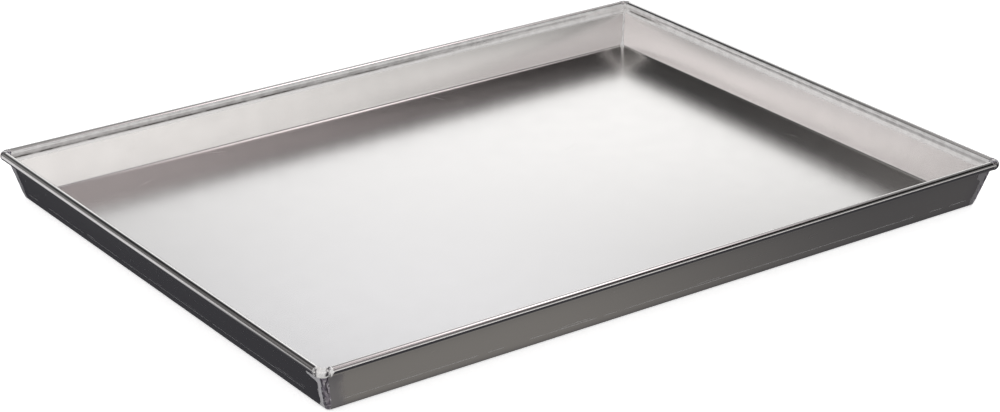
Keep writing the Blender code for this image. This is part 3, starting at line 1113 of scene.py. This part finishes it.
def make_floor_stage():
    """A white floor that keeps the tray's shadow."""
    material = bpy.data.materials.new("white_floor")
    material.use_nodes = True
    tree = material.node_tree
    tree.nodes.clear()
    path = tree.nodes.new("ShaderNodeLightPath").outputs
    seen = calculate(tree, "MAXIMUM", path["Is Camera Ray"], path["Is Glossy Ray"])
    seen = calculate(tree, "MAXIMUM", seen, path["Is Transmission Ray"])
    strength = multiply(tree, seen, FLOOR_GLOW)
    glow = linked_node(tree, "ShaderNodeEmission", {}, {"Color": (1, 1, 1, 1), "Strength": strength})
    matt = linked_node(tree, "ShaderNodeBsdfDiffuse", {}, {"Color": (0.8, 0.8, 0.8, 1)})
    both = linked_node(tree, "ShaderNodeAddShader", {}, {0: glow.outputs[0], 1: matt.outputs[0]})
    linked_node(tree, "ShaderNodeOutputMaterial", {}, {"Surface": both.outputs[0]})
    bm = bmesh.new()
    bmesh.ops.create_circle(bm, cap_ends=True, segments=96, radius=FLOOR_RADIUS)
    bmesh.ops.translate(bm, verts=bm.verts, vec=(0, 0, -FLOOR_DEPTH))
    stage_object("floor", bm, material)


def make_world():
    """White behind the tray, and plain light on pale metal and on the floor. Reflections don't show it."""
    world = bpy.data.worlds.new("white_world")
    bpy.context.scene.world = world
    world.use_nodes = True
    world.cycles_visibility.glossy = False
    tree = world.node_tree
    background = tree.nodes["Background"]
    background.inputs["Color"].default_value = (1, 1, 1, 1)
    path = tree.nodes.new("ShaderNodeLightPath").outputs
    strength = smooth_range(tree, path["Is Camera Ray"], 0.0, 1.0, PLAIN_LEVEL, 1.0)
    tree.links.new(strength, background.inputs["Strength"])


def make_camera():
    """The camera where the photograph's was."""
    back = Vector((
        math.sin(CAMERA_AZIMUTH) * math.cos(CAMERA_ELEVATION),
        -math.cos(CAMERA_AZIMUTH) * math.cos(CAMERA_ELEVATION),
        math.sin(CAMERA_ELEVATION),
    ))
    level = Vector((math.cos(CAMERA_AZIMUTH), math.sin(CAMERA_AZIMUTH), 0))
    up = back.cross(level)
    right = level * math.cos(CAMERA_ROLL) + up * math.sin(CAMERA_ROLL)
    up = back.cross(right)
    camera = bpy.data.objects.new("camera", bpy.data.cameras.new("camera"))
    camera.data.lens = CAMERA_LENS_MM
    camera.data.sensor_width = CAMERA_SENSOR_MM
    bpy.context.scene.collection.objects.link(camera)
    turn = Matrix((right, up, back)).transposed().to_4x4()
    camera.matrix_world = Matrix.Translation(CAMERA_TARGET + back * CAMERA_DISTANCE) @ turn
    bpy.context.scene.camera = camera


make_camera()
make_world()
make_dome()
make_table()
make_floor_stage()
sheet_in = inside_metal("sheet_inside")
sheet_out = outside_metal("sheet_outside")
elbow_metal = weld_metal("rim_weld", SCORCHED_COLOUR, SHEET_COLOUR, 0.26, 0.00003, 0.1)
# a paler, chalkier copy of the rim weld metal: a painted highlight on the front left rim corner
painted_highlight_elbow_metal = weld_metal("painted_highlight_rim_weld", SHEET_COLOUR, BRIGHT_WELD_COLOUR, 0.24, 0.00002, 0.85)
seam_in = weld_metal("seam_inside", SHEET_COLOUR, BRIGHT_WELD_COLOUR, 0.36, 0.00004, 0.75)
seam_out = outside_seam("seam_outside")
wire_metal = drawn_wire("rim_wire")
make_sheet(sheet_in, sheet_out)
for corner_name, corner in CORNERS.items():
    make_corner_weld(corner_name, corner, seam_in, seam_out)
    # only the front left corner's weld gets the painted highlight
    metal = painted_highlight_elbow_metal if corner_name == "front_left" else elbow_metal
    make_rim_elbow(corner_name, corner, metal)
for side_name in SIDES:
    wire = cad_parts[f"rim_wire_{side_name}"]
    wire.data.materials.clear()
    wire.data.materials.append(wire_metal)

bpy.context.scene.view_settings.view_transform = "Standard"
